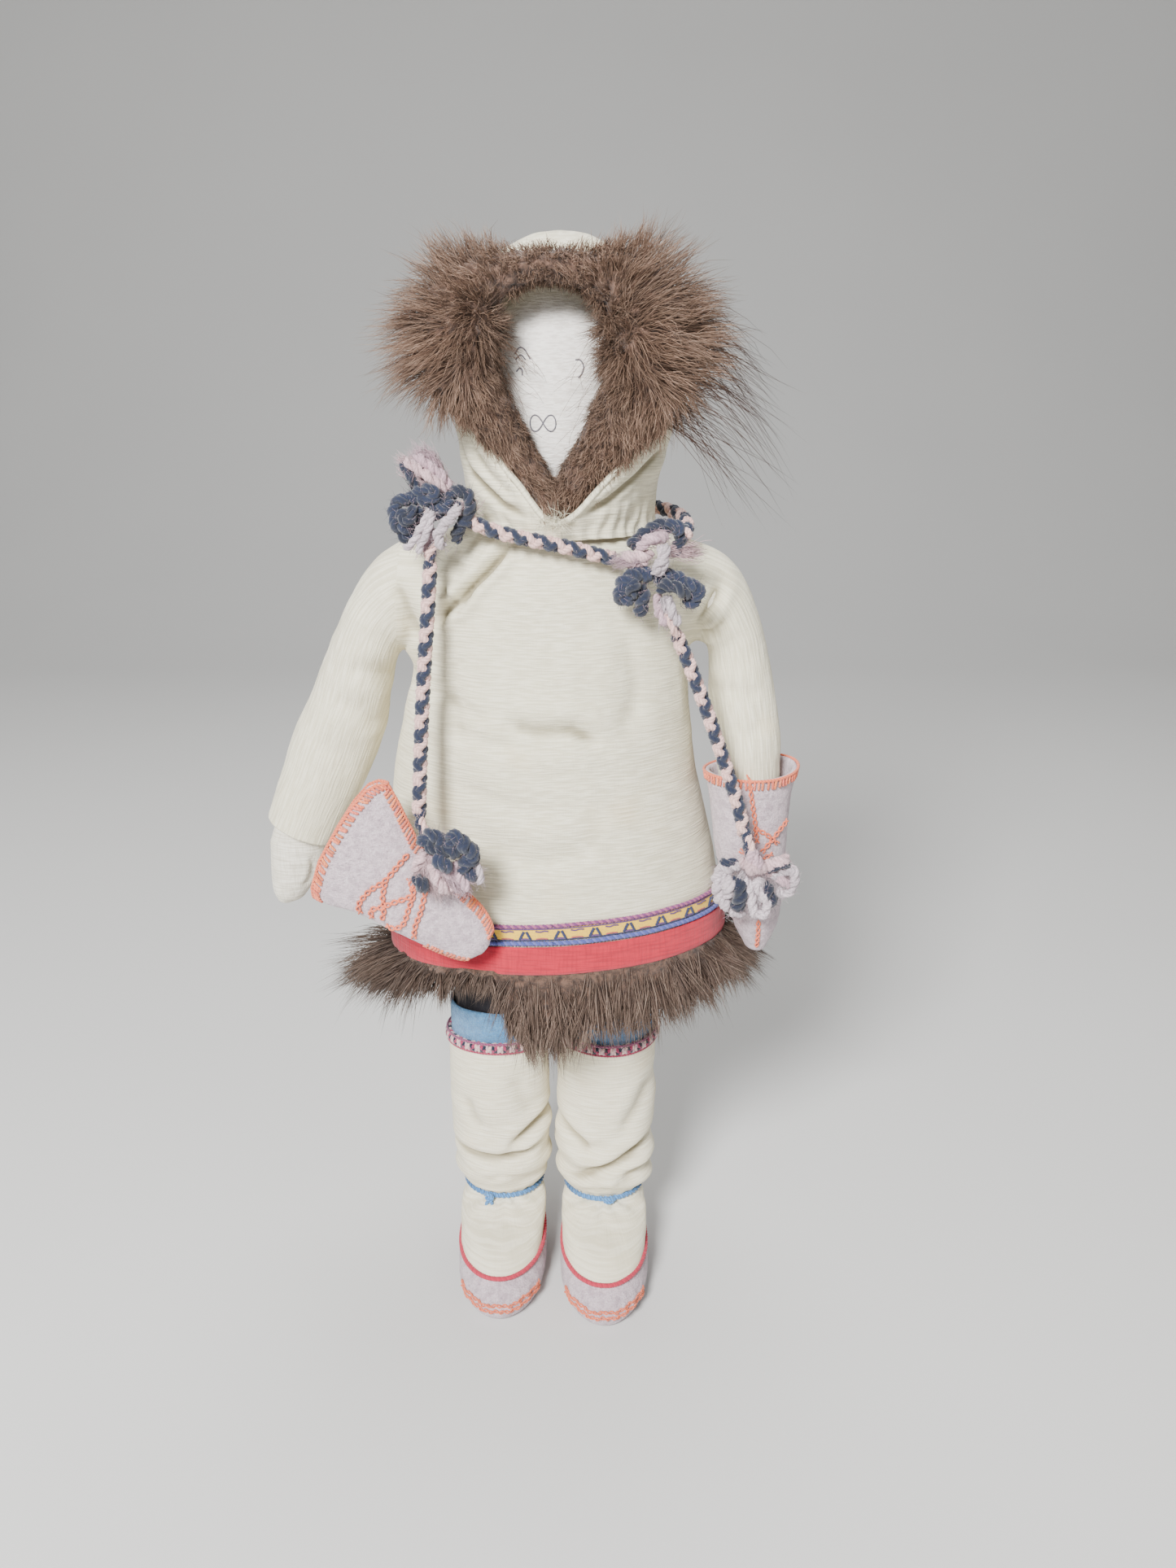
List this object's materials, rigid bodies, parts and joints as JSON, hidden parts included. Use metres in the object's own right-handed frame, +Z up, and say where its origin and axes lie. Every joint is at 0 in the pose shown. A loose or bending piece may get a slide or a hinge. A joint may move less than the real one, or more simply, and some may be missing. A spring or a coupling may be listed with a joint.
{
  "type": "hooded cloth doll",
  "caption": "Stuffed cloth doll in a hooded, fur-trimmed parka with felt boots and felt mittens joined by a braided yarn harness.",
  "frame": {"origin": "on the ground under the middle of the doll's box, measured without the free cords and what hangs on them", "axes": "+Z up, the doll faces -Y, its left side is +X"},
  "size_m": [0.1674, 0.0862, 0.3389],
  "materials": {
    "muslin": "plain-woven muslin, matte",
    "stuffing": "loose fibre fill, matte",
    "parka_cotton": "ribbed cotton, matte",
    "red_cotton": "cotton tape, matte",
    "blue_cord": "twisted cord, matte",
    "yellow_ribbon": "woven ribbon with a dark zigzag, slight sheen",
    "purple_cord": "twisted cord, matte",
    "fur": "long fur",
    "yarn": "worsted yarn in navy and pink, matte",
    "black_cotton": "cotton, matte",
    "blue_felt": "felt, matte",
    "boot_cotton": "cotton, matte",
    "tie_yarn": "yarn, matte",
    "lilac_felt": "felt, matte",
    "red_piping": "cord piping, matte",
    "orange_thread": "embroidery yarn, matte"
  },
  "bodies": {
    "torso": {"torso_cover": "muslin", "torso_stuffing": "stuffing", "parka_body": "parka_cotton", "hem_band_red": "red_cotton", "hem_cord_blue": "blue_cord", "hem_ribbon_yellow": "yellow_ribbon", "hem_cord_purple": "purple_cord", "skirt_fur_right": "fur", "skirt_fur_left": "fur", "neck_cord_front": "yarn", "neck_cord_back": "yarn", "right_shoulder_tassel": "yarn", "left_shoulder_tassel": "yarn", "left_drop_cord": "yarn"},
    "head": {"head_cover": "muslin", "head_stuffing": "stuffing", "hood": "parka_cotton", "hood_ruff": "fur"},
    "right_arm": {"right_sleeve": "parka_cotton", "right_arm_cover": "muslin", "right_arm_stuffing": "stuffing"},
    "left_arm": {"left_sleeve": "parka_cotton", "left_arm_cover": "muslin", "left_arm_stuffing": "stuffing"},
    "left_mitten": {"left_mitten": "lilac_felt", "left_mitten_tassel": "yarn"},
    "right_cord": {"right_drop_cord": "yarn"},
    "right_mitten": {"right_mitten": "lilac_felt", "right_mitten_tassel": "yarn"},
    "right_leg": {"right_leg_cover": "muslin", "right_leg_stuffing": "stuffing", "right_trouser_leg": "black_cotton", "right_boot_liner": "blue_felt", "right_boot_shaft": "boot_cotton", "right_boot_braid": "yarn", "right_ankle_tie": "tie_yarn", "right_boot_vamp": "boot_cotton", "right_vamp_piping": "red_piping", "right_boot_sole": "lilac_felt", "right_toe_stitching": "orange_thread"},
    "left_leg": {"left_leg_cover": "muslin", "left_leg_stuffing": "stuffing", "left_trouser_leg": "black_cotton", "left_boot_liner": "blue_felt", "left_boot_shaft": "boot_cotton", "left_boot_braid": "yarn", "left_ankle_tie": "tie_yarn", "left_boot_vamp": "boot_cotton", "left_vamp_piping": "red_piping", "left_boot_sole": "lilac_felt", "left_toe_stitching": "orange_thread"}
  },
  "joints": [
    {"name": "head_turn", "type": "hinge", "parent": "torso", "child": "head", "pos_m": [0.0109, 0.0043, 0.2616], "axis": [0, 0, 1], "range_deg": [-20, 20]},
    {"name": "right_shoulder", "type": "hinge", "parent": "torso", "child": "right_arm", "pos_m": [-0.0351, 0.0083, 0.24], "axis": [-1, 0, 0], "range_deg": [-45, 150]},
    {"name": "left_shoulder", "type": "hinge", "parent": "torso", "child": "left_arm", "pos_m": [0.0549, 0.0083, 0.24], "axis": [-1, 0, 0], "range_deg": [0, 150], "deforming": ["left_drop_cord"]},
    {"name": "left_mitten_slide", "type": "slide", "parent": "left_arm", "child": "left_mitten", "axis": [0.14, -0.06, -0.9883], "range_m": [0, 0.03]},
    {"name": "right_cord_swing", "type": "hinge", "parent": "torso", "child": "right_cord", "pos_m": [-0.0241, -0.0202, 0.2535], "axis": [-1, 0, 0], "range_deg": [0, 80]},
    {"name": "right_mitten_swing", "type": "hinge", "parent": "right_cord", "child": "right_mitten", "pos_m": [-0.0289, -0.0323, 0.179], "axis": [0, 1, 0], "range_deg": [-45, 20]},
    {"name": "right_hip", "type": "hinge", "parent": "torso", "child": "right_leg", "pos_m": [-0.0121, 0.0083, 0.128], "axis": [-1, 0, 0], "range_deg": [-30, 40], "deforming": ["skirt_fur_right"]},
    {"name": "left_hip", "type": "hinge", "parent": "torso", "child": "left_leg", "pos_m": [0.0269, 0.0083, 0.128], "axis": [-1, 0, 0], "range_deg": [-30, 40], "deforming": ["skirt_fur_left"]}
  ]
}
